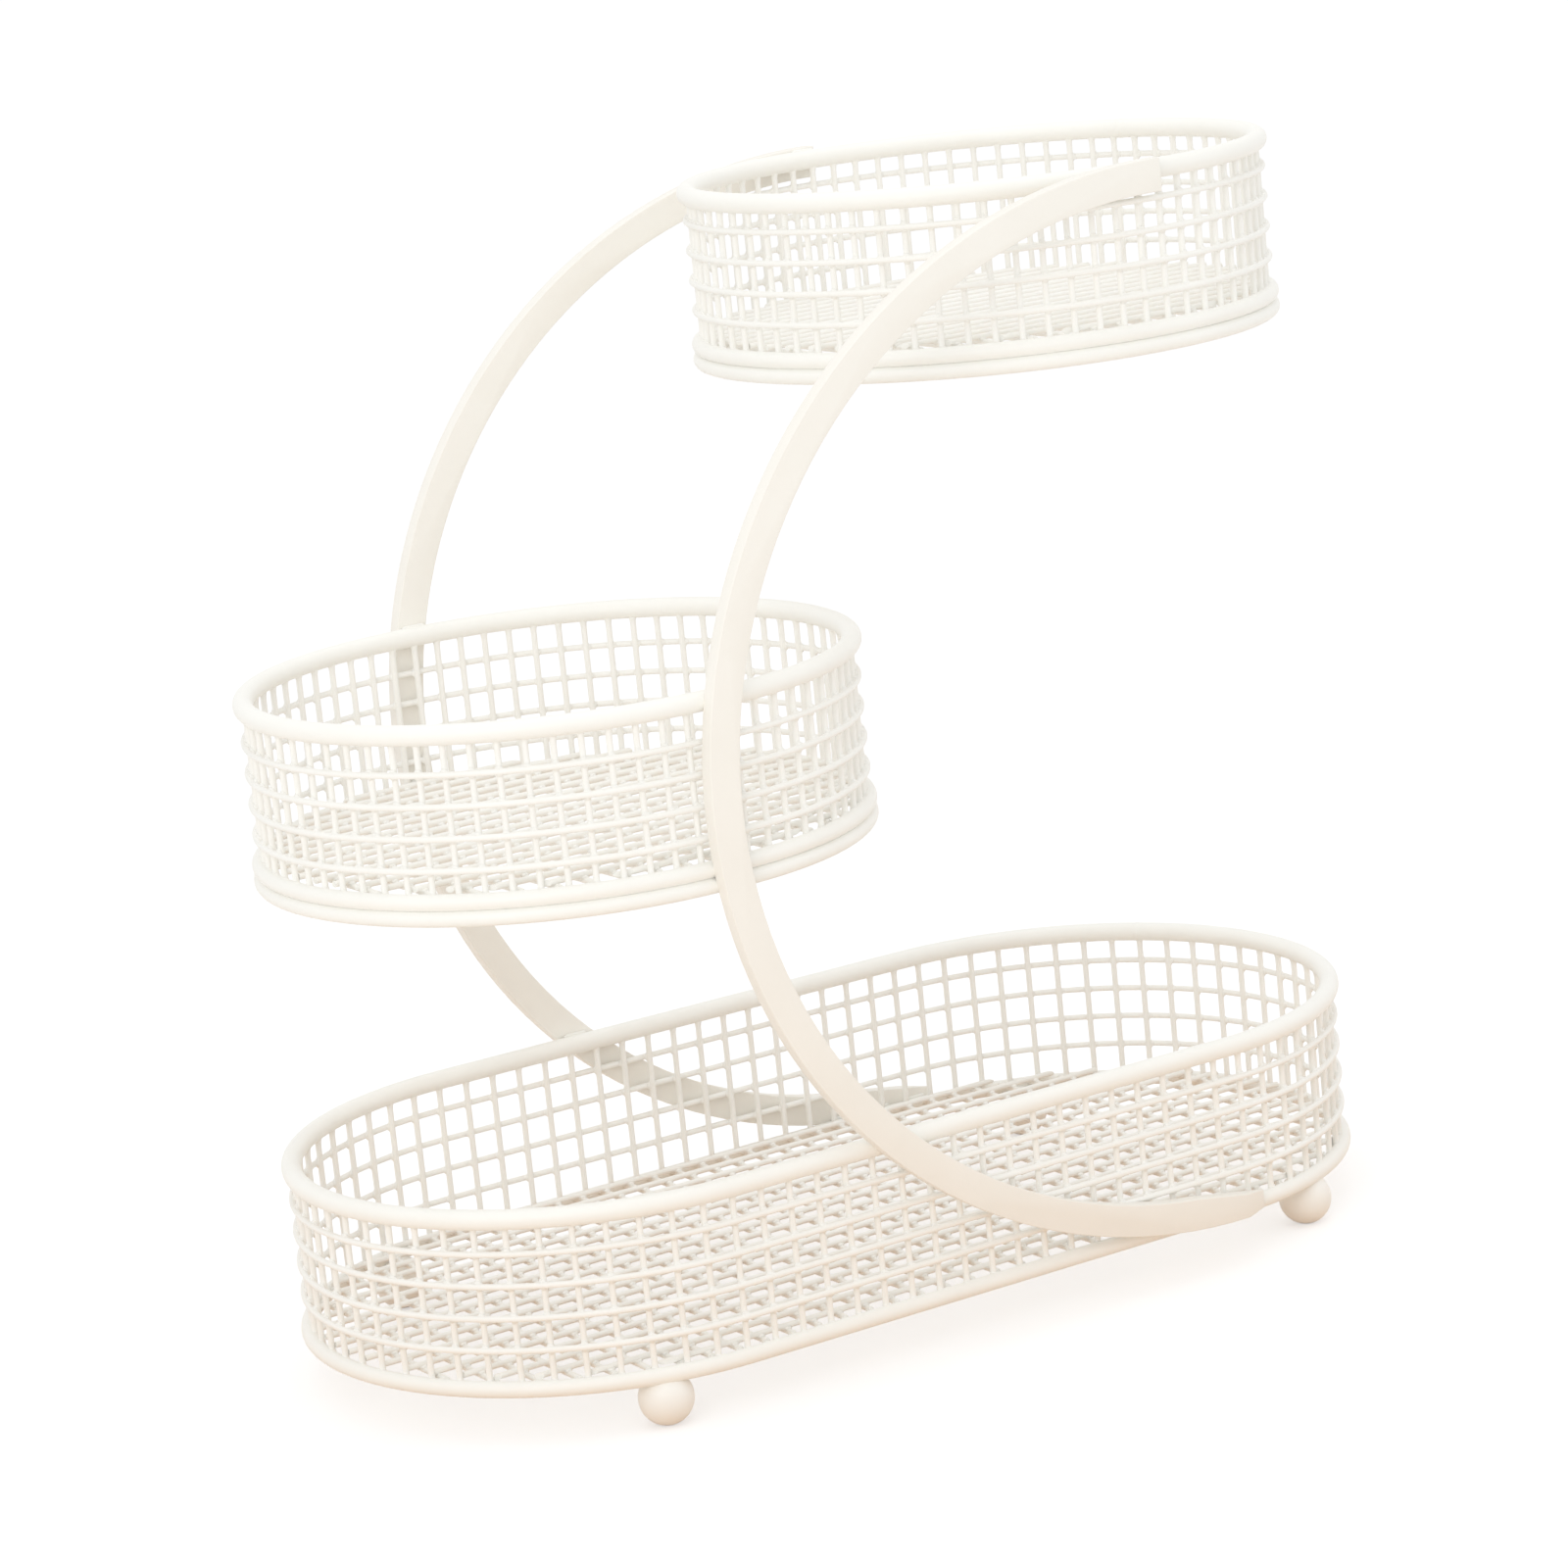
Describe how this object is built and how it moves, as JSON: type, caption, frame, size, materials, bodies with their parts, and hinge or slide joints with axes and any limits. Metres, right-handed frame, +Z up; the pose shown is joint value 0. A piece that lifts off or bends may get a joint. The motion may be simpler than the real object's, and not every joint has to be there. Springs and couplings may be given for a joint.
{
  "type": "fruit basket stand",
  "caption": "Three oval wire-mesh fruit baskets at stepped heights between two C-shaped flat side bars, on ball feet; painted metal, free-standing.",
  "frame": {"origin": "on the table, below the centre of the outline", "axes": "+X along the bottom basket, from the low outer tier towards the tall side; +Y from front to back; +Z up"},
  "size_m": [0.4434, 0.236, 0.4202],
  "materials": {
    "bar_paint": "satin cream paint on flat bar",
    "rod_paint": "satin cream paint on round tube and rod",
    "wire_paint": "satin cream paint on thin wire",
    "foot_paint": "satin cream paint on solid balls"
  },
  "bodies": {
    "root": {"front_side_bar": "bar_paint", "back_side_bar": "bar_paint", "bottom_basket_rim": "rod_paint", "bottom_basket_base_ring": "rod_paint", "bottom_basket_uprights": "wire_paint", "bottom_basket_floor_cross_wires": "wire_paint", "bottom_basket_floor_long_wires": "wire_paint", "bottom_basket_hoop_1": "wire_paint", "bottom_basket_hoop_2": "wire_paint", "bottom_basket_hoop_3": "wire_paint", "bottom_basket_hoop_4": "wire_paint", "middle_basket_rim": "rod_paint", "middle_basket_base_ring": "rod_paint", "middle_basket_uprights": "wire_paint", "middle_basket_floor_cross_wires": "wire_paint", "middle_basket_floor_long_wires": "wire_paint", "middle_basket_hoop_1": "wire_paint", "middle_basket_hoop_2": "wire_paint", "middle_basket_hoop_3": "wire_paint", "middle_basket_hoop_4": "wire_paint", "middle_basket_lower_ring": "rod_paint", "top_basket_rim": "rod_paint", "top_basket_base_ring": "rod_paint", "top_basket_uprights": "wire_paint", "top_basket_floor_cross_wires": "wire_paint", "top_basket_floor_long_wires": "wire_paint", "top_basket_hoop_1": "wire_paint", "top_basket_hoop_2": "wire_paint", "top_basket_hoop_3": "wire_paint", "top_basket_hoop_4": "wire_paint", "top_basket_lower_ring": "rod_paint", "foot_front_left": "foot_paint", "foot_front_right": "foot_paint", "foot_back_left": "foot_paint", "foot_back_right": "foot_paint"}
  },
  "joints": []
}
